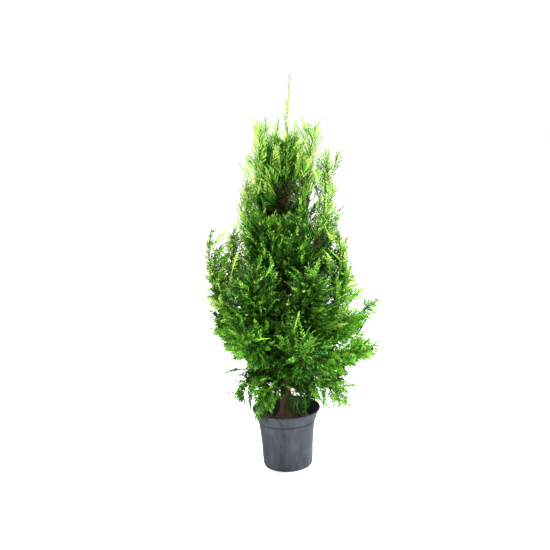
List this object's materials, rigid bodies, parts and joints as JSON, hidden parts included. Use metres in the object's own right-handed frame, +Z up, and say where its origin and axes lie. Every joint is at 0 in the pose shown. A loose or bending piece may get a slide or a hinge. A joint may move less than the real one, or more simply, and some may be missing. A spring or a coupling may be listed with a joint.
{
  "type": "potted thuja",
  "caption": "Young upright evergreen with flat scale-leaf sprays on a single leaning stem, growing in a flared black plastic nursery pot.",
  "frame": {"origin": "centre of the pot's flat underside, on the surface that the pot stands on", "axes": "+Z up along the pot axis, the longest extent; -Y towards the front of the plant; +X to the right seen from the front, the way the stem leans"},
  "size_m": [0.6036, 0.533, 1.365],
  "materials": {
    "bark": "matte",
    "foliage": "matte",
    "pot": "satin",
    "compost": "matte"
  },
  "bodies": {
    "root": {"pot": "pot", "compost": "compost", "trunk": "bark", "bough_top_1": "bark", "bough_top_2": "bark", "bough_top_3": "bark", "bough_top_4": "bark", "bough_upper_1": "bark", "bough_upper_2": "bark", "bough_upper_3": "bark", "bough_upper_4": "bark", "bough_upper_5": "bark", "bough_upper_6": "bark", "bough_middle_1": "bark", "bough_middle_2": "bark", "bough_middle_3": "bark", "bough_middle_4": "bark", "bough_middle_5": "bark", "bough_middle_6": "bark", "bough_middle_7": "bark", "bough_lower_1": "bark", "bough_lower_2": "bark", "bough_lower_3": "bark", "bough_lower_4": "bark", "bough_lower_5": "bark", "bough_lower_6": "bark", "bough_lower_7": "bark", "bough_skirt_1": "bark", "bough_skirt_2": "bark", "bough_skirt_3": "bark", "bough_skirt_4": "bark", "foliage_leader": "foliage", "foliage_top_1": "foliage", "foliage_top_2": "foliage", "foliage_top_3": "foliage", "foliage_top_4": "foliage", "foliage_upper_1": "foliage", "foliage_upper_2": "foliage", "foliage_upper_3": "foliage", "foliage_upper_4": "foliage", "foliage_upper_5": "foliage", "foliage_upper_6": "foliage", "foliage_middle_1": "foliage", "foliage_middle_2": "foliage", "foliage_middle_3": "foliage", "foliage_middle_4": "foliage", "foliage_middle_5": "foliage", "foliage_middle_6": "foliage", "foliage_middle_7": "foliage", "foliage_lower_1": "foliage", "foliage_lower_2": "foliage", "foliage_lower_3": "foliage", "foliage_lower_4": "foliage", "foliage_lower_5": "foliage", "foliage_lower_6": "foliage", "foliage_lower_7": "foliage", "foliage_skirt_1": "foliage", "foliage_skirt_2": "foliage", "foliage_skirt_3": "foliage", "foliage_skirt_4": "foliage"}
  },
  "joints": []
}
